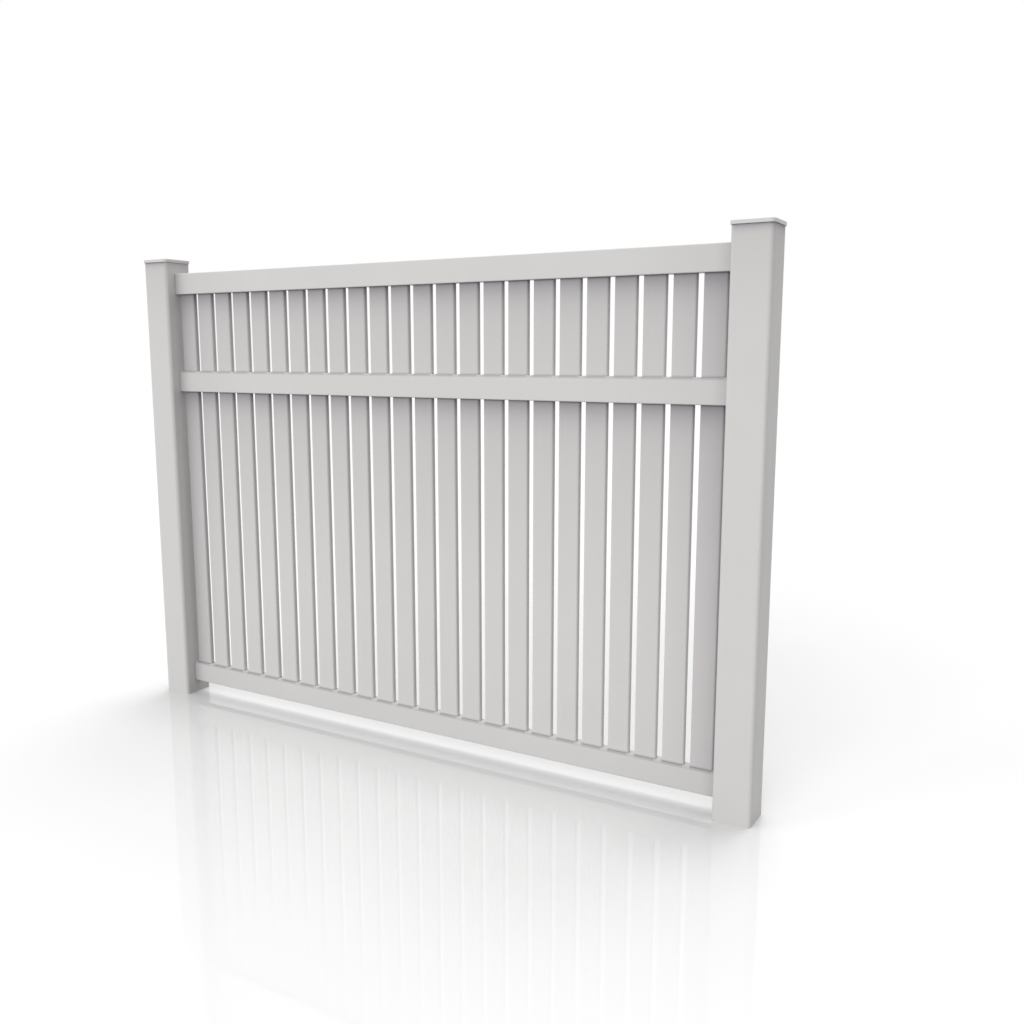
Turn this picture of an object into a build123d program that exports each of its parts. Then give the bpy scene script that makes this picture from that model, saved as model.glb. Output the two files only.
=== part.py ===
import os

from build123d import *

# Semi-privacy fence panel in hollow white vinyl: two capped posts, three rails and a row of upright
# pickets. Millimetres, +X along the fence, +Y to its back, +Z up, with the origin at the middle of
# the left post's foot.

# Posts
post_size = 127.0
post_corner_radius = 13.3
post_wall = 4.0
post_height = 1828.8

# Caps, slipped over the post tops
cap_wall = 3.2
cap_skirt = 8.8
cap_clearance = 0.3
cap_corner_radius = 15.0
cap_bevel = 1.6

# Rails: the bottom one is placed from the ground, the others from the post tops
rail_thickness = 38.0
rail_height = 83.8
rail_edge_radius = 3.5
rail_wall = 2.8
rail_insert = 30.0
rail_clearance = 0.3
ground_gap = 54.4
top_rail_drop = 53.2
mid_rail_gap = 309.5

# Pickets
picket_count = 24
picket_width = 76.2
picket_thickness = 21.0
picket_edge_radius = 6.5
picket_wall = 1.6
picket_gap = 20.7
picket_end_gap = 17.5
picket_top_room = 20.0
picket_clearance = 0.3

# A flat across a corner, laid against the corner's arc, takes this share of its radius off each side
corner_share = 2 - 2**0.5

# Places that follow from the sizes
clear_width = picket_count * picket_width + (picket_count - 1) * picket_gap + 2 * picket_end_gap
right_post_x = post_size + clear_width
posts = {"left_post": (0.0, 1.0), "right_post": (right_post_x, -1.0)}

top_rail_level = post_height - top_rail_drop - rail_height
mid_rail_level = top_rail_level - mid_rail_gap - rail_height
rail_levels = {"bottom_rail": ground_gap, "mid_rail": mid_rail_level, "top_rail": top_rail_level}
slotted_walls = {"bottom_rail": ["upper"], "mid_rail": ["lower", "upper"], "top_rail": ["lower"]}
rail_start_x = post_size / 2 - rail_insert
rail_length = clear_width + 2 * rail_insert
rail_bore_bevel = corner_share * max(rail_edge_radius - rail_wall, rail_wall / 4)

first_picket_x = (post_size + picket_width) / 2 + picket_end_gap
picket_places = [first_picket_x + number * (picket_width + picket_gap) for number in range(picket_count)]
picket_bore_bevel = corner_share * (picket_edge_radius - picket_wall)

# The pickets stand on the bottom rail's floor, or on its bevelled corners where they are thicker
floor_half_width = rail_thickness / 2 - rail_wall - rail_bore_bevel
picket_foot = ground_gap + rail_wall + max(0.0, picket_thickness / 2 - floor_half_width)
picket_top = top_rail_level + rail_height - rail_wall - picket_top_room

os.makedirs("parts", exist_ok=True)

# Posts: square tubes, routed through the inner face for the three rail ends
for post_name, (post_x, inward) in posts.items():
    with BuildPart() as post:
        with BuildSketch(Plane((post_x, 0, 0))):
            RectangleRounded(post_size, post_size, post_corner_radius)
            RectangleRounded(
                post_size - 2 * post_wall,
                post_size - 2 * post_wall,
                post_corner_radius - post_wall,
                mode=Mode.SUBTRACT,
            )
        extrude(amount=post_height)
        # The lower edge of each hole carries its rail, and the play is at the sides and top
        inner_face = Plane((post_x + inward * post_size / 2, 0, 0), x_dir=(0, -inward, 0), z_dir=(-inward, 0, 0))
        hole_height = rail_height + rail_clearance
        with BuildSketch(inner_face):
            with Locations([(0, level + hole_height / 2) for level in rail_levels.values()]):
                RectangleRounded(rail_thickness + 2 * rail_clearance, hole_height, rail_edge_radius)
        extrude(amount=post_size / 2, mode=Mode.SUBTRACT)
    post.part.label = post_name
    export_step(post.part, f"parts/{post_name}.step")

# Caps: a flat lid with a short skirt around the post
cap_inside = post_size + 2 * cap_clearance
cap_outside = cap_inside + 2 * cap_wall
cap_inside_radius = post_corner_radius + cap_clearance
for post_name, (post_x, inward) in posts.items():
    skirt_foot = Plane((post_x, 0, post_height - cap_skirt))
    with BuildPart() as cap:
        with BuildSketch(skirt_foot):
            RectangleRounded(cap_outside, cap_outside, cap_corner_radius)
        extrude(amount=cap_skirt + cap_wall)
        chamfer(cap.faces().sort_by(Axis.Z)[-1].edges(), length=cap_bevel)
        with BuildSketch(skirt_foot):
            RectangleRounded(cap_inside, cap_inside, cap_inside_radius)
        extrude(amount=cap_skirt, mode=Mode.SUBTRACT)
    cap.part.label = f"{post_name}_cap"
    export_step(cap.part, f"parts/{post_name}_cap.step")

# Rails: flat tubes with round long edges, slotted where the pickets pass
for rail_name, level in rail_levels.items():
    rail_end = Plane((rail_start_x, 0, level + rail_height / 2), x_dir=(0, 1, 0), z_dir=(1, 0, 0))
    with BuildPart() as rail:
        with BuildSketch(rail_end):
            RectangleRounded(rail_thickness, rail_height, rail_edge_radius)
        extrude(amount=rail_length)
        with BuildSketch(rail_end) as bore:
            Rectangle(rail_thickness - 2 * rail_wall, rail_height - 2 * rail_wall)
            chamfer(bore.vertices(), length=rail_bore_bevel)
        extrude(amount=rail_length, mode=Mode.SUBTRACT)
        for wall in slotted_walls[rail_name]:
            slot_start = level if wall == "lower" else level + rail_height / 2
            with BuildSketch(Plane((0, 0, slot_start))) as slots:
                with Locations([(picket_x, 0) for picket_x in picket_places]):
                    Rectangle(picket_width + 2 * picket_clearance, picket_thickness + 2 * picket_clearance)
                chamfer(slots.vertices(), length=corner_share * picket_edge_radius)
            extrude(amount=rail_height / 2, mode=Mode.SUBTRACT)
    rail.part.label = rail_name
    export_step(rail.part, f"parts/{rail_name}.step")

# Pickets: flat tubes with round edges, from the bottom rail through the mid rail into the top rail
for number, picket_x in enumerate(picket_places, start=1):
    picket_end = Plane((picket_x, 0, picket_foot))
    with BuildPart() as picket:
        with BuildSketch(picket_end):
            RectangleRounded(picket_width, picket_thickness, picket_edge_radius)
        extrude(amount=picket_top - picket_foot)
        with BuildSketch(picket_end) as bore:
            Rectangle(picket_width - 2 * picket_wall, picket_thickness - 2 * picket_wall)
            chamfer(bore.vertices(), length=picket_bore_bevel)
        extrude(amount=picket_top - picket_foot, mode=Mode.SUBTRACT)
    picket.part.label = f"picket_{number:02d}"
    export_step(picket.part, f"parts/picket_{number:02d}.step")
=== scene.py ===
import math

import bmesh
import bpy
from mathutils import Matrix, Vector


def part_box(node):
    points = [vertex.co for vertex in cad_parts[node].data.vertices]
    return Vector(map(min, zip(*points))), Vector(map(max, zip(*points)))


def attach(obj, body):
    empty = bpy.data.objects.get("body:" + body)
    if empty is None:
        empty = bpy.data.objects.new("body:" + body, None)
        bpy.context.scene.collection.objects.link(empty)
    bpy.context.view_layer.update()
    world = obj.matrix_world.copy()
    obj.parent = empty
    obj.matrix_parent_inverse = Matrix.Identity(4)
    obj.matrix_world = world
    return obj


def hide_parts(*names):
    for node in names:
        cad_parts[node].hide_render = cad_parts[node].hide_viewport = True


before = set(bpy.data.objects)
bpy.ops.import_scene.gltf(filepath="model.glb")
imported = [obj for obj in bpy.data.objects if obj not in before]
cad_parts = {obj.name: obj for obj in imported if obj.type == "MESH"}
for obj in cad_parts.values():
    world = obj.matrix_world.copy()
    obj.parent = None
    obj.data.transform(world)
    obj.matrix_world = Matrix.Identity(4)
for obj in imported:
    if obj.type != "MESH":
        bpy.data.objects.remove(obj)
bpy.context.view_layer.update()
print("frame loaded with", len(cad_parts), "nodes")


# small helpers for node trees

weldDistance = 0.00001
sharpAngle = math.radians(32)    # corners past this stay crisp


def addNode(tree, kind, settings=None, inputs=None):
    node = tree.nodes.new(kind)
    for name, value in (settings or {}).items():
        setattr(node, name, value)
    for socket, value in (inputs or {}).items():
        if isinstance(value, bpy.types.NodeSocket):
            tree.links.new(value, node.inputs[socket])
        else:
            node.inputs[socket].default_value = value
    return node


def addMath(tree, operation, first, second):
    return addNode(tree, "ShaderNodeMath", {"operation": operation}, {0: first, 1: second}).outputs[0]


def newShapeTree(name, inputs):
    # a geometry tree with named inputs; gives the tree, its input sockets and its output node
    tree = bpy.data.node_groups.new(name, "GeometryNodeTree")
    tree.interface.new_socket(name="Geometry", in_out="OUTPUT", socket_type="NodeSocketGeometry")
    for label, kind in inputs.items():
        tree.interface.new_socket(name=label, in_out="INPUT", socket_type="NodeSocket" + kind)
    given = tree.nodes.new("NodeGroupInput").outputs
    result = tree.nodes.new("NodeGroupOutput")
    return tree, given, result


def addGroup(tree, group, inputs):
    node = tree.nodes.new("GeometryNodeGroup")
    node.node_tree = group
    for label, value in inputs.items():
        if isinstance(value, bpy.types.NodeSocket):
            tree.links.new(value, node.inputs[label])
        else:
            node.inputs[label].default_value = value
    return node.outputs[0]


def vectorOf(tree, x=0.0, y=0.0, z=0.0):
    return addNode(tree, "ShaderNodeCombineXYZ", inputs={0: x, 1: y, 2: z}).outputs[0]


def finishShape(tree, result, mesh, finish):
    # weld, mark the real corners sharp, shade the rest smooth and give it its finish
    welded = addNode(tree, "GeometryNodeMergeByDistance", inputs={
        "Geometry": mesh, "Distance": weldDistance})
    smooth = addNode(tree, "GeometryNodeSetShadeSmooth", inputs={
        "Geometry": welded.outputs[0], "Shade Smooth": True})
    angle = addNode(tree, "GeometryNodeInputMeshEdgeAngle")
    corner = addMath(tree, "GREATER_THAN", angle.outputs["Unsigned Angle"], sharpAngle)
    sharp = addNode(tree, "GeometryNodeSetShadeSmooth", {"domain": "EDGE"}, {
        "Geometry": smooth.outputs[0], "Selection": corner, "Shade Smooth": False})
    painted = addNode(tree, "GeometryNodeSetMaterial", inputs={
        "Geometry": sharp.outputs[0], "Material": finish})
    tree.links.new(painted.outputs[0], result.inputs[0])


def buildPiece(name, tree, values):
    # runs a shape tree once and keeps its result as a plain mesh at the origin
    piece = bpy.data.objects.new(name, bpy.data.meshes.new(name))
    bpy.context.scene.collection.objects.link(piece)
    shape = piece.modifiers.new("shape", "NODES")
    shape.node_group = tree
    sockets = {s.name: s.identifier for s in tree.interface.items_tree if s.in_out == "INPUT"}
    for label, value in values.items():
        shape[sockets[label]] = value
    evenShade = piece.modifiers.new("evenShade", "WEIGHTED_NORMAL")  # keeps the long flats flat
    evenShade.keep_sharp = True
    ready = piece.evaluated_get(bpy.context.evaluated_depsgraph_get())
    mesh = bpy.data.meshes.new_from_object(ready)
    mesh.name = name
    piece.modifiers.clear()
    finish = values["Finish"]
    mesh.materials.clear()
    mesh.materials.append(finish)
    for face in mesh.polygons:
        face.material_index = 0
    piece.data = mesh
    return piece


# extruded vinyl sections: a solid bar and a hollow tube, both standing along Z

def makeBarGroup():
    tree, given, result = newShapeTree("roundBar", {
        "Width": "Float", "Depth": "Float", "Radius": "Float", "Length": "Float", "Steps": "Int"})
    outline = addNode(tree, "GeometryNodeCurvePrimitiveQuadrilateral", {"mode": "RECTANGLE"}, {
        "Width": given["Width"], "Height": given["Depth"]})
    rounded = addNode(tree, "GeometryNodeFilletCurve", {"mode": "POLY"}, {
        "Curve": outline.outputs[0], "Radius": given["Radius"], "Count": given["Steps"]})
    end = addNode(tree, "GeometryNodeFillCurve", {"mode": "NGONS"}, {"Curve": rounded.outputs[0]})
    closeBar(tree, result, end.outputs[0], given["Length"])
    return tree


def makeTubeGroup():
    tree, given, result = newShapeTree("roundTube", {
        "Width": "Float", "Depth": "Float", "Radius": "Float", "Wall": "Float", "Length": "Float",
        "Steps": "Int"})
    bothWalls = addMath(tree, "MULTIPLY", given["Wall"], 2.0)
    loops = []
    for width, depth, radius in (
        (given["Width"], given["Depth"], given["Radius"]),
        (
            addMath(tree, "SUBTRACT", given["Width"], bothWalls),
            addMath(tree, "SUBTRACT", given["Depth"], bothWalls),
            addMath(tree, "SUBTRACT", given["Radius"], given["Wall"]),
        ),
    ):
        outline = addNode(tree, "GeometryNodeCurvePrimitiveQuadrilateral", {"mode": "RECTANGLE"}, {
            "Width": width, "Height": depth})
        rounded = addNode(tree, "GeometryNodeFilletCurve", {"mode": "POLY"}, {
            "Curve": outline.outputs[0], "Radius": radius, "Count": given["Steps"]})
        loops.append(rounded.outputs[0])
    both = addNode(tree, "GeometryNodeJoinGeometry")
    for loop in loops:
        tree.links.new(loop, both.inputs[0])
    end = addNode(tree, "GeometryNodeFillCurve", {"mode": "NGONS"}, {"Curve": both.outputs[0]})
    closeBar(tree, result, end.outputs[0], given["Length"])
    return tree


def closeBar(tree, result, end, length):
    # pulls an end face up by the length and closes the foot behind it
    pulled = addNode(tree, "GeometryNodeExtrudeMesh", {"mode": "FACES"}, {
        "Mesh": end, "Offset": vectorOf(tree, z=1.0), "Offset Scale": length, "Individual": False})
    foot = addNode(tree, "GeometryNodeFlipFaces", inputs={"Mesh": end})
    whole = addNode(tree, "GeometryNodeJoinGeometry")
    tree.links.new(pulled.outputs["Mesh"], whole.inputs[0])
    tree.links.new(foot.outputs[0], whole.inputs[0])
    welded = addNode(tree, "GeometryNodeMergeByDistance", inputs={
        "Geometry": whole.outputs[0], "Distance": weldDistance})
    tree.links.new(welded.outputs[0], result.inputs[0])


roundBar = makeBarGroup()
roundTube = makeTubeGroup()
print("vinyl sections ready")


# places read from the frame

picketNames = sorted(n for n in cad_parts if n.startswith("picket_"))
picketLow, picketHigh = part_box(picketNames[0])
picketSize = picketHigh - picketLow
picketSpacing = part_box(picketNames[1])[0].x - picketLow.x
firstPicketX = picketLow.x + picketSize.x / 2
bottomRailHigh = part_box("bottom_rail")[1]
midRailLow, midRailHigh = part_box("mid_rail")
topRailLow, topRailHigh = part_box("top_rail")
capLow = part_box("left_post_cap")[0]
firstFace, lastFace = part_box("left_post")[1].x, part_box("right_post")[0].x  # between the posts


# finishes

vinylLook = {
    "colour": (0.667, 0.657, 0.646),
    "cloudScale": 5.0,       # broad drifts of tone
    "shade": 0.012,          # how far the tone wanders over a piece
    "roughness": 0.38,
    "roughnessSpread": 0.08,
    "lineScale": 420.0,      # die lines to a metre, across the length
    "lineStretch": 0.006,    # die lines run on along the length
    "lineDepth": 0.00003,
    "peelScale": 260.0,      # faint orange peel
    "peelDepth": 0.00002,
    "refraction": 1.52,
}
# painted shade: under rails and caps, beside posts, at picket feet and on the ledges the vinyl's colour is
# mixed towards a dark violet grey where shade falls
paintedShadeLook = {
    "colour": (0.10, 0.085, 0.115),
    "dullness": 0.25,        # how much rougher the vinyl is where shade is painted
    "depth": 0.04,           # painted shade goes on this far past a shading edge
    "thinnest": 0.85,        # it is patchy, down to this share
    # beside each kind of edge, layers of painted shade: amount, reach and how soon it fades
    "underRail": ((0.26, 0.0085, 1.0), (0.68, 0.246, 5.0), (0.22, 1.0, 2.6)),
    "underCap": ((0.19, 0.008, 1.0), (0.63, 0.044, 3.2), (0.17, 0.84, 4.0)),
    "railEnd": ((0.38, 0.065, 1.8), (0.13, 0.6, 2.2)),
    "besidePost": ((0.36, 0.25, 2.6), (0.10, 0.05, 1.0), (0.07, 0.5, 1.5)),
    "picketFoot": ((0.34, 0.0065, 1.0),),
    "ledge": ((0.58, 0.010, 1.0),),
    "ledgeInGaps": 0.55,     # the ledges have this share of it between pickets
    "gapEdge": 0.004,        # and turn to it over this width
    "insidePosts": 0.42,     # the posts' inner faces have this share of what is under the caps
    "cornerTurn": 0.012,     # and turn to it around the corner
}


def rangeOf(tree, value, fromLow, fromHigh, toLow, toHigh):
    return addNode(tree, "ShaderNodeMapRange", inputs={
        "Value": value, "From Min": fromLow, "From Max": fromHigh,
        "To Min": toLow, "To Max": toHigh}).outputs[0]


def beforePickets(tree, place):
    # where the ledges get painted shade: 1 in front of and behind each picket, less in the gaps
    fromMiddle = addMath(tree, "SUBTRACT", place.outputs["X"], firstPicketX)
    wrapped = addNode(tree, "ShaderNodeMath", {"operation": "WRAP"}, {
        0: fromMiddle, 1: picketSpacing / 2, 2: -picketSpacing / 2}).outputs[0]
    aside = addNode(tree, "ShaderNodeMath", {"operation": "ABSOLUTE"}, {0: wrapped}).outputs[0]
    halfWidth = picketSize.x / 2
    return rangeOf(tree, aside, halfWidth - paintedShadeLook["gapEdge"], halfWidth, 1.0, paintedShadeLook["ledgeInGaps"])


def outsidePosts(tree, place):
    # where the painted shade under the caps goes: 1 on the posts' outer and front faces, less on their
    # inner faces
    fromMiddle = addMath(tree, "SUBTRACT", place.outputs["X"], (firstFace + lastFace) / 2)
    aside = addNode(tree, "ShaderNodeMath", {"operation": "ABSOLUTE"}, {0: fromMiddle}).outputs[0]
    innerFace = (lastFace - firstFace) / 2
    return rangeOf(tree, aside, innerFace, innerFace + paintedShadeLook["cornerTurn"], paintedShadeLook["insidePosts"], 1.0)


def addPaintedShade(tree, place, patches, shadeEdges):
    # the share of vinyl left unshaded beside shading edges, for painted shade; side 1 paints shade on what
    # is below or left of a level
    unshaded = None
    for kind, axis, level, side, span in shadeEdges:
        away = addMath(tree, "MULTIPLY", addMath(tree, "SUBTRACT", level, place.outputs[axis]), side)
        within = addMath(tree, "GREATER_THAN", away, -paintedShadeLook["depth"])
        within = addMath(tree, "MULTIPLY", within, addMath(tree, "LESS_THAN", away, span))
        within = addMath(tree, "MULTIPLY", within, patches)
        if kind == "ledge":
            within = addMath(tree, "MULTIPLY", within, beforePickets(tree, place))
        if kind == "underCap":
            within = addMath(tree, "MULTIPLY", within, outsidePosts(tree, place))
        for amount, reach, fade in paintedShadeLook[kind]:
            near = addMath(tree, "POWER", rangeOf(tree, away, 0.0, reach, 1.0, 0.0), fade)
            share = addMath(tree, "MULTIPLY", addMath(tree, "MULTIPLY", near, within), amount)
            left = addMath(tree, "SUBTRACT", 1.0, share)
            unshaded = left if unshaded is None else addMath(tree, "MULTIPLY", unshaded, left)
    return unshaded


def makeVinyl(name, lengthAxis, look, batchAttribute=None, shadeEdges=()):
    finish = bpy.data.materials.new(name)
    finish.use_nodes = True
    tree = finish.node_tree
    shader = tree.nodes["Principled BSDF"]
    shader.inputs["IOR"].default_value = look["refraction"]
    position = addNode(tree, "ShaderNodeTexCoord").outputs["Object"]
    place = addNode(tree, "ShaderNodeSeparateXYZ", inputs={0: position})
    stretch = [look["lineScale"]] * 3
    stretch["XYZ".index(lengthAxis)] *= look["lineStretch"]
    along = addNode(tree, "ShaderNodeMapping", inputs={"Vector": position, "Scale": stretch})
    dieLines = addNode(tree, "ShaderNodeTexNoise", inputs={
        "Vector": along.outputs[0], "Scale": 1.0, "Detail": 3.0, "Roughness": 0.6}).outputs["Fac"]
    clouds = addNode(tree, "ShaderNodeTexNoise", inputs={
        "Vector": position, "Scale": look["cloudScale"], "Detail": 4.0, "Roughness": 0.55}).outputs["Fac"]
    peel = addNode(tree, "ShaderNodeTexNoise", inputs={
        "Vector": position, "Scale": look["peelScale"], "Detail": 2.0, "Roughness": 0.5}).outputs["Fac"]
    # the broad clouds also make the painted shade patchy
    patches = rangeOf(tree, clouds, 0.3, 0.7, paintedShadeLook["thinnest"], 1.0)

    # tone: broad clouds, fine die lines and each picket's own batch
    tone = rangeOf(tree, clouds, 0.3, 0.7, 1.0 - look["shade"], 1.0 + look["shade"])
    lineTone = rangeOf(tree, dieLines, 0.3, 0.7, 1.0 - look["shade"] / 2, 1.0 + look["shade"] / 2)
    tone = addMath(tree, "MULTIPLY", tone, lineTone)
    if batchAttribute:
        batch = addNode(tree, "ShaderNodeAttribute", {"attribute_name": batchAttribute})
        tone = addMath(tree, "MULTIPLY", tone, batch.outputs["Fac"])
    gloss = rangeOf(tree, dieLines, 0.25, 0.75, look["roughness"] - look["roughnessSpread"],
                    look["roughness"] + look["roughnessSpread"])
    colour = addNode(tree, "ShaderNodeVectorMath", {"operation": "SCALE"}, {
        0: look["colour"], "Scale": tone}).outputs[0]
    # painted shade: beside the shading edges the colour is mixed towards the dark shade colour, and the
    # vinyl is made rougher there
    if shadeEdges:
        unshaded = addPaintedShade(tree, place, patches, shadeEdges)
        colour = addNode(tree, "ShaderNodeMix", {"data_type": "VECTOR"}, {
            0: unshaded, 4: paintedShadeLook["colour"], 5: colour}).outputs[1]
        gloss = addMath(tree, "ADD", gloss, rangeOf(tree, unshaded, 0.0, 1.0, paintedShadeLook["dullness"], 0.0))
    tree.links.new(colour, shader.inputs["Base Color"])
    tree.links.new(gloss, shader.inputs["Roughness"])

    peelBump = addNode(tree, "ShaderNodeBump", inputs={
        "Strength": 1.0, "Distance": look["peelDepth"], "Height": peel})
    lineBump = addNode(tree, "ShaderNodeBump", inputs={
        "Strength": 1.0, "Distance": look["lineDepth"], "Height": dieLines, "Normal": peelBump.outputs[0]})
    tree.links.new(lineBump.outputs[0], shader.inputs["Normal"])
    return finish


# edges beside which shade is painted: kind, axis, level, side and how far the piece runs on from there
topRow, lowRow = topRailLow.z - midRailHigh.z, midRailLow.z
underCaps = [("underCap", "Z", capLow.z, 1.0, capLow.z)]
alongPickets = [
    ("underRail", "Z", topRailLow.z, 1.0, topRow),
    ("underRail", "Z", midRailLow.z, 1.0, lowRow),
]
alongRails = []
for postFace, side in ((firstFace, -1.0), (lastFace, 1.0)):
    alongPickets.append(("besidePost", "X", postFace, side, topRailHigh.x))
    alongRails.append(("railEnd", "X", postFace, side, topRailHigh.x))
for railTop in (midRailHigh.z, bottomRailHigh.z):
    alongPickets.append(("picketFoot", "Z", railTop, -1.0, topRow))
    alongRails.append(("ledge", "Z", railTop, 1.0, topRow))
postVinyl = makeVinyl("postVinyl", "Z", vinylLook, shadeEdges=underCaps)
picketVinyl = makeVinyl("picketVinyl", "Z", vinylLook, "batchTone", shadeEdges=alongPickets)
railVinyl = makeVinyl("railVinyl", "X", vinylLook, shadeEdges=alongRails)
capLook = dict(vinylLook, roughness=0.34, lineDepth=0.0, peelDepth=0.00003)
capVinyl = makeVinyl("capVinyl", "Z", capLook)
print("vinyl finishes ready")


# pickets

pickets = {
    "edgeRadius": 0.0065,
    "wall": 0.0016,
    "edgeSteps": 8,
    "toneSpread": 0.006,     # batches differ by this much
    "seed": 24,
}


def makePicketTree():
    tree, given, result = newShapeTree("picketRow", {
        "Count": "Int", "First X": "Float", "Spacing": "Float", "Foot": "Float", "Width": "Float",
        "Thickness": "Float", "Length": "Float", "Edge Radius": "Float", "Wall": "Float",
        "Edge Steps": "Int", "Tone Spread": "Float", "Seed": "Int", "Finish": "Material"})
    picket = addGroup(tree, roundTube, {
        "Width": given["Width"], "Depth": given["Thickness"], "Radius": given["Edge Radius"],
        "Wall": given["Wall"], "Length": given["Length"], "Steps": given["Edge Steps"]})
    row = addNode(tree, "GeometryNodeMeshLine", {"mode": "OFFSET"}, {
        "Count": given["Count"], "Start Location": vectorOf(tree, x=given["First X"], z=given["Foot"]),
        "Offset": vectorOf(tree, x=given["Spacing"])})
    placed = addNode(tree, "GeometryNodeInstanceOnPoints", inputs={
        "Points": row.outputs[0], "Instance": picket})
    batch = addNode(tree, "FunctionNodeRandomValue", {"data_type": "FLOAT"}, {"Seed": given["Seed"]})
    tree.links.new(addMath(tree, "SUBTRACT", 1.0, given["Tone Spread"]), batch.inputs[2])
    tree.links.new(addMath(tree, "ADD", 1.0, given["Tone Spread"]), batch.inputs[3])
    marked = addNode(
        tree, "GeometryNodeStoreNamedAttribute", {"data_type": "FLOAT", "domain": "INSTANCE"},
        {"Geometry": placed.outputs[0], "Name": "batchTone", "Value": batch.outputs[1]})
    real = addNode(tree, "GeometryNodeRealizeInstances", inputs={"Geometry": marked.outputs[0]})
    finishShape(tree, result, real.outputs[0], given["Finish"])
    return tree


picketRow = buildPiece("pickets", makePicketTree(), {
    "Count": len(picketNames), "First X": firstPicketX, "Spacing": picketSpacing,
    "Foot": picketLow.z, "Width": picketSize.x, "Thickness": picketSize.y, "Length": picketSize.z,
    "Edge Radius": pickets["edgeRadius"], "Wall": pickets["wall"], "Edge Steps": pickets["edgeSteps"],
    "Tone Spread": pickets["toneSpread"], "Seed": pickets["seed"], "Finish": picketVinyl})
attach(picketRow, "root")
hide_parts(*picketNames)
print("pickets stand:", len(picketNames))


# rails

rails = {
    "edgeRadius": 0.0035,
    "wall": 0.0028,
    "edgeSteps": 6,
    "slotPlay": 0.0003,      # around each picket
    "slotRunOut": 0.010,     # how far the cutter passes the wall
    "slotted": {"bottom_rail": ["upper"], "mid_rail": ["lower", "upper"], "top_rail": ["lower"]},
}


def makeRailTree():
    tree, given, result = newShapeTree("slottedRail", {
        "Start X": "Float", "Level": "Float", "Length": "Float", "Height": "Float", "Thickness": "Float",
        "Edge Radius": "Float", "Wall": "Float", "Edge Steps": "Int", "Slot Count": "Int",
        "First Slot X": "Float", "Slot Spacing": "Float", "Slot Width": "Float", "Slot Thickness": "Float",
        "Slot Radius": "Float", "Slot Foot": "Float", "Slot Depth": "Float", "Finish": "Material"})
    tube = addGroup(tree, roundTube, {
        "Width": given["Height"], "Depth": given["Thickness"], "Radius": given["Edge Radius"],
        "Wall": given["Wall"], "Length": given["Length"], "Steps": given["Edge Steps"]})
    laid = addNode(tree, "GeometryNodeTransform", inputs={
        "Geometry": tube, "Rotation": (0.0, math.radians(90), 0.0),
        "Translation": vectorOf(tree, x=given["Start X"], z=given["Level"])})
    cutter = addGroup(tree, roundBar, {
        "Width": given["Slot Width"], "Depth": given["Slot Thickness"], "Radius": given["Slot Radius"],
        "Length": given["Slot Depth"], "Steps": given["Edge Steps"]})
    row = addNode(tree, "GeometryNodeMeshLine", {"mode": "OFFSET"}, {
        "Count": given["Slot Count"],
        "Start Location": vectorOf(tree, x=given["First Slot X"], z=given["Slot Foot"]),
        "Offset": vectorOf(tree, x=given["Slot Spacing"])})
    placed = addNode(tree, "GeometryNodeInstanceOnPoints", inputs={
        "Points": row.outputs[0], "Instance": cutter})
    cutters = addNode(tree, "GeometryNodeRealizeInstances", inputs={"Geometry": placed.outputs[0]})
    routed = addNode(tree, "GeometryNodeMeshBoolean", {"operation": "DIFFERENCE", "solver": "EXACT"}, {
        "Mesh 1": laid.outputs[0], "Mesh 2": cutters.outputs[0]})
    real = addNode(tree, "GeometryNodeRealizeInstances", inputs={"Geometry": routed.outputs[0]})
    finishShape(tree, result, real.outputs[0], given["Finish"])
    return tree


railTree = makeRailTree()
for railName, walls in rails["slotted"].items():
    low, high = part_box(railName)
    size = high - low
    runOut = rails["slotRunOut"]
    middle = low.z + size.z / 2
    slotFoot = low.z - runOut if "lower" in walls else middle
    slotTop = high.z + runOut if "upper" in walls else middle
    rail = buildPiece(railName.replace("_rail", "Rail"), railTree, {
        "Start X": low.x, "Level": middle, "Length": size.x, "Height": size.z, "Thickness": size.y,
        "Edge Radius": rails["edgeRadius"], "Wall": rails["wall"], "Edge Steps": rails["edgeSteps"],
        "Slot Count": len(picketNames), "First Slot X": firstPicketX,
        "Slot Spacing": picketSpacing, "Slot Width": picketSize.x + 2 * rails["slotPlay"],
        "Slot Thickness": picketSize.y + 2 * rails["slotPlay"],
        "Slot Radius": pickets["edgeRadius"] + rails["slotPlay"],
        "Slot Foot": slotFoot, "Slot Depth": slotTop - slotFoot, "Finish": railVinyl})
    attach(rail, "root")
    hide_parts(railName)
print("rails laid:", len(rails["slotted"]))


# posts

posts = {
    "cornerRadius": 0.0133,
    "wall": 0.004,
    "cornerSteps": 12,
    "railPlay": 0.0003,      # at the sides and top of each rail hole
}


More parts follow.
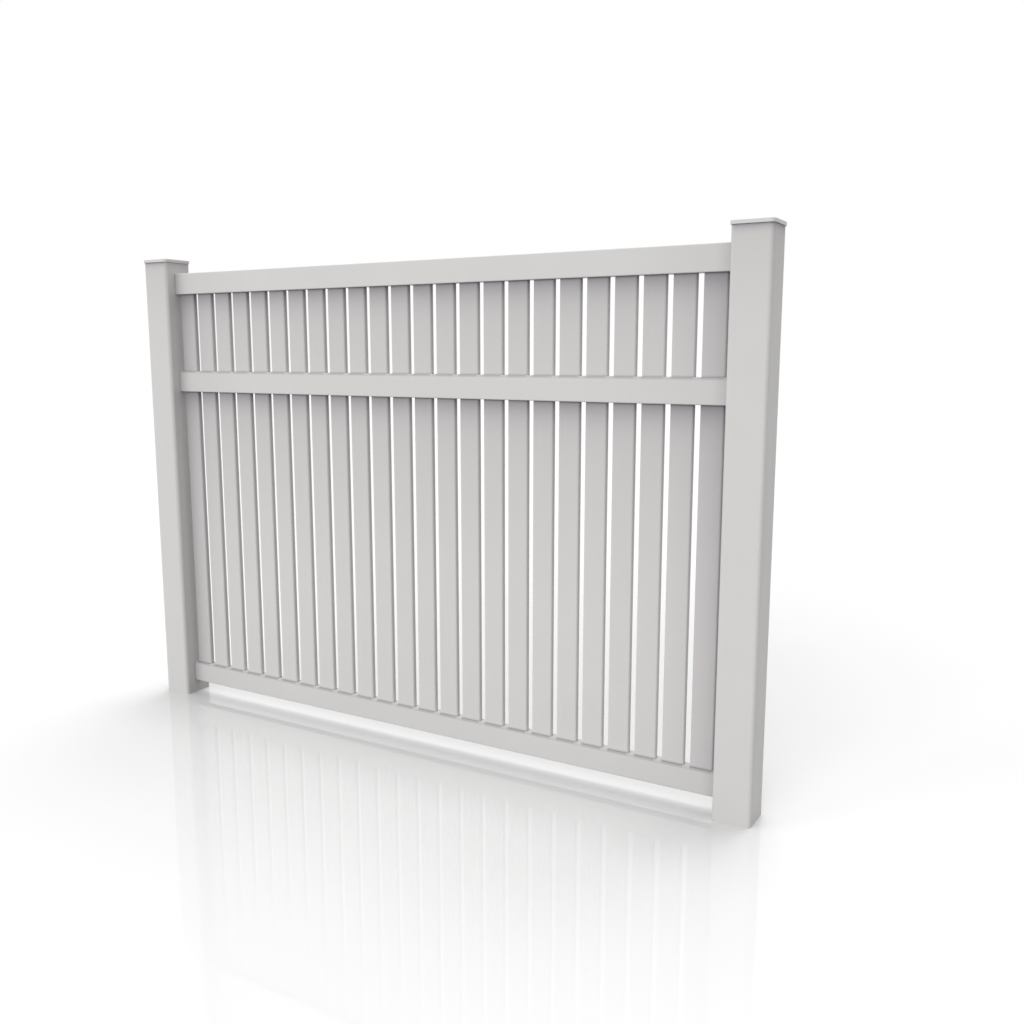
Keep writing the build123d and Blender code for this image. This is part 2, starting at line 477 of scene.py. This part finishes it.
def makePostTree():
    tree, given, result = newShapeTree("routedPost", {
        "Middle X": "Float", "Inward": "Float", "Size": "Float", "Height": "Float",
        "Corner Radius": "Float", "Wall": "Float", "Corner Steps": "Int", "Hole Width": "Float",
        "Hole Height": "Float", "Hole Radius": "Float", "Hole 1": "Float", "Hole 2": "Float",
        "Hole 3": "Float", "Finish": "Material"})
    tube = addGroup(tree, roundTube, {
        "Width": given["Size"], "Depth": given["Size"], "Radius": given["Corner Radius"],
        "Wall": given["Wall"], "Length": given["Height"], "Steps": given["Corner Steps"]})
    stood = addNode(tree, "GeometryNodeTransform", inputs={
        "Geometry": tube, "Translation": vectorOf(tree, x=given["Middle X"])})
    cutter = addGroup(tree, roundBar, {
        "Width": given["Hole Height"], "Depth": given["Hole Width"], "Radius": given["Hole Radius"],
        "Length": given["Size"], "Steps": given["Corner Steps"]})
    turn = vectorOf(tree, y=addMath(tree, "MULTIPLY", given["Inward"], math.radians(90)))
    routed = addNode(tree, "GeometryNodeMeshBoolean", {"operation": "DIFFERENCE", "solver": "EXACT"}, {
        "Mesh 1": stood.outputs[0]})
    for hole in ("Hole 1", "Hole 2", "Hole 3"):
        placed = addNode(tree, "GeometryNodeTransform", inputs={
            "Geometry": cutter, "Rotation": turn,
            "Translation": vectorOf(tree, x=given["Middle X"], z=given[hole])})
        tree.links.new(placed.outputs[0], routed.inputs["Mesh 2"])
    finishShape(tree, result, routed.outputs[0], given["Finish"])
    return tree


postTree = makePostTree()
railBoxes = [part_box(name) for name in rails["slotted"]]
railSize = railBoxes[0][1] - railBoxes[0][0]
holeWidth = railSize.y + 2 * posts["railPlay"]
holeHeight = railSize.z + posts["railPlay"]
for postName, inward in (("left_post", 1.0), ("right_post", -1.0)):
    low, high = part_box(postName)
    values = {
        "Middle X": (low.x + high.x) / 2, "Inward": inward, "Size": high.x - low.x,
        "Height": high.z - low.z, "Corner Radius": posts["cornerRadius"], "Wall": posts["wall"],
        "Corner Steps": posts["cornerSteps"], "Hole Width": holeWidth, "Hole Height": holeHeight,
        "Hole Radius": rails["edgeRadius"], "Finish": postVinyl}
    for number, railBox in enumerate(railBoxes, start=1):
        values[f"Hole {number}"] = railBox[0].z + holeHeight / 2
    post = buildPiece(postName.replace("_post", "Post"), postTree, values)
    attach(post, "root")
    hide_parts(postName)
print("posts stand")


# caps: a lid with a round upper edge and a skirt around the post

caps = {
    "wall": 0.0032,
    "cornerRadius": 0.015,
    "insideRadius": 0.0136,  # clears the post's corners
    "edgeRadius": 0.0022,
    "cornerSteps": 12,
    "edgeSteps": 5,
}


def squareLoop(mesh, middle, half, radius, z, steps):
    # one level of a square with round corners
    loop = []
    for quarter in range(4):
        turn = math.radians(90 * quarter)
        centre = Vector((half - radius, half - radius))
        for step in range(steps + 1):
            angle = math.radians(90 * step / steps)
            point = centre + radius * Vector((math.cos(angle), math.sin(angle)))
            x = point.x * math.cos(turn) - point.y * math.sin(turn)
            y = point.x * math.sin(turn) + point.y * math.cos(turn)
            loop.append(mesh.verts.new((middle.x + x, middle.y + y, z)))
    return loop


def joinLoops(mesh, lower, upper):
    for i in range(len(lower)):
        j = (i + 1) % len(lower)
        mesh.faces.new((lower[i], lower[j], upper[j], upper[i]))


def makeCap(name, low, high):
    mesh = bmesh.new()
    middle = (low + high) / 2
    half = (high.x - low.x) / 2
    edge, wall, corner = caps["edgeRadius"], caps["wall"], caps["cornerRadius"]
    inside = (half - wall, caps["insideRadius"])
    levels = [(*inside, high.z - wall), (*inside, low.z), (half, corner, low.z)]
    for step in range(caps["edgeSteps"] + 1):
        angle = math.radians(90 * step / caps["edgeSteps"])
        inset = edge * (1 - math.cos(angle))
        levels.append((half - inset, corner - inset, high.z - edge * (1 - math.sin(angle))))
    loops = [squareLoop(mesh, middle, *level, caps["cornerSteps"]) for level in levels]
    for lower, upper in zip(loops, loops[1:]):
        joinLoops(mesh, lower, upper)
    mesh.faces.new(loops[-1])
    mesh.faces.new(reversed(loops[0]))
    bmesh.ops.recalc_face_normals(mesh, faces=mesh.faces)
    for face in mesh.faces:
        face.smooth = True
    for rim in mesh.edges:
        if rim.calc_face_angle(0.0) > sharpAngle:
            rim.smooth = False
    data = bpy.data.meshes.new(name)
    mesh.to_mesh(data)
    mesh.free()
    data.materials.append(capVinyl)
    cap = bpy.data.objects.new(name, data)
    bpy.context.scene.collection.objects.link(cap)
    evenShade = cap.modifiers.new("evenShade", "WEIGHTED_NORMAL")
    evenShade.keep_sharp = True
    return cap


for capName in ("left_post_cap", "right_post_cap"):
    cap = makeCap(capName.replace("_post_cap", "PostCap"), *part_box(capName))
    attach(cap, "root")
    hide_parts(capName)
print("caps on")


# floor

floorLook = {
    "size": 60.0,
    "colour": 0.80,
    "bounce": 0.2,           # what it gives back to the fence
    "roughness": 0.008,
    "gloss": 0.5,
    "contactReach": 0.45,    # darker this near to what stands on it
    "contactShade": 0.28,
}


def makeFloor():
    finish = bpy.data.materials.new("paleFloor")
    finish.use_nodes = True
    tree = finish.node_tree
    shader = tree.nodes["Principled BSDF"]
    contact = addNode(tree, "ShaderNodeAmbientOcclusion", {"samples": 8}, {
        "Distance": floorLook["contactReach"]})
    darkest = floorLook["colour"] * (1 - floorLook["contactShade"])
    tone = rangeOf(tree, contact.outputs["AO"], 0.0, 1.0, darkest, floorLook["colour"])
    tree.links.new(vectorOf(tree, tone, tone, tone), shader.inputs["Base Color"])
    shader.inputs["Roughness"].default_value = floorLook["roughness"]
    shader.inputs["Specular IOR Level"].default_value = floorLook["gloss"]
    bounce = addNode(tree, "ShaderNodeBsdfDiffuse")
    bounce.inputs["Color"].default_value = (floorLook["bounce"],) * 3 + (1.0,)
    rays = addNode(tree, "ShaderNodeLightPath")
    seen = addMath(tree, "MAXIMUM", rays.outputs["Is Camera Ray"], rays.outputs["Is Glossy Ray"])
    seen = addMath(tree, "MAXIMUM", seen, rays.outputs["Is Transmission Ray"])
    mix = addNode(tree, "ShaderNodeMixShader", inputs={0: seen, 1: bounce.outputs[0], 2: shader.outputs[0]})
    tree.links.new(mix.outputs[0], tree.nodes["Material Output"].inputs["Surface"])
    half = floorLook["size"] / 2
    mesh = bpy.data.meshes.new("floor")
    corners = [(-half, -half, 0), (half, -half, 0), (half, half, 0), (-half, half, 0)]
    mesh.from_pydata(corners, [], [(0, 1, 2, 3)])
    mesh.materials.append(finish)
    floor = bpy.data.objects.new("floor", mesh)
    bpy.context.scene.collection.objects.link(floor)


makeFloor()
print("floor laid")


# light

studio = {
    "fill": 0.42,            # even light from all round
    "lamps": {
        # bearing from the front towards the right, height above the floor, spread, strength
        "frontLamp": {"bearing": 0.0, "height": 25.0, "spread": 40.0, "strength": 0.505},
        "frontLeftLamp": {"bearing": -50.0, "height": 25.0, "spread": 40.0, "strength": 0.24},
        "rightLamp": {"bearing": 90.0, "height": 25.0, "spread": 40.0, "strength": 0.095},
        "overheadLamp": {"bearing": 180.0, "height": 84.0, "spread": 16.0, "strength": 0.17},
        "backLamp": {"bearing": 180.0, "height": 62.0, "spread": 40.0, "strength": 0.43},
    },
}


def makeLight():
    world = bpy.data.worlds.new("studio")
    bpy.context.scene.world = world
    world.use_nodes = True
    tree = world.node_tree
    tree.nodes["Background"].inputs["Strength"].default_value = studio["fill"]
    tree.nodes["Background"].inputs["Color"].default_value = (1.0, 1.0, 1.0, 1.0)
    white = addNode(tree, "ShaderNodeBackground", inputs={"Color": (1.0, 1.0, 1.0, 1.0), "Strength": 1.0})
    rays = addNode(tree, "ShaderNodeLightPath")
    seen = addMath(tree, "MAXIMUM", rays.outputs["Is Camera Ray"], rays.outputs["Is Glossy Ray"])
    seen = addMath(tree, "MAXIMUM", seen, rays.outputs["Is Transmission Ray"])
    mix = addNode(tree, "ShaderNodeMixShader", inputs={
        0: seen, 1: tree.nodes["Background"].outputs[0], 2: white.outputs[0]})
    tree.links.new(mix.outputs[0], tree.nodes["World Output"].inputs["Surface"])
    for name, lamp in studio["lamps"].items():
        data = bpy.data.lights.new(name, "SUN")
        data.energy = math.pi * lamp["strength"]
        data.angle = math.radians(lamp["spread"])
        light = bpy.data.objects.new(name, data)
        bearing, height = math.radians(lamp["bearing"]), math.radians(lamp["height"])
        across = math.cos(height)
        towards = Vector((math.sin(bearing) * across, -math.cos(bearing) * across, math.sin(height)))
        light.rotation_euler = towards.to_track_quat("Z", "Y").to_euler()
        light.visible_glossy = False  # the polished floor mirrors no lamp
        bpy.context.scene.collection.objects.link(light)


makeLight()
print("lights set")


# camera: eye height, seen from the right-hand end

viewpoint = {"place": (3.3373, -2.9335, 1.4510), "turn": 30.02, "dip": 9.0, "lens": 35.0, "sensor": 36.0}


def makeCamera():
    data = bpy.data.cameras.new("viewCamera")
    data.lens = viewpoint["lens"]
    data.sensor_width = viewpoint["sensor"]
    camera = bpy.data.objects.new("viewCamera", data)
    camera.location = viewpoint["place"]
    camera.rotation_euler = (math.radians(90 - viewpoint["dip"]), 0.0, math.radians(viewpoint["turn"]))
    bpy.context.scene.collection.objects.link(camera)
    bpy.context.scene.camera = camera


makeCamera()
bpy.context.scene.view_settings.view_transform = "Standard"
print("camera placed")
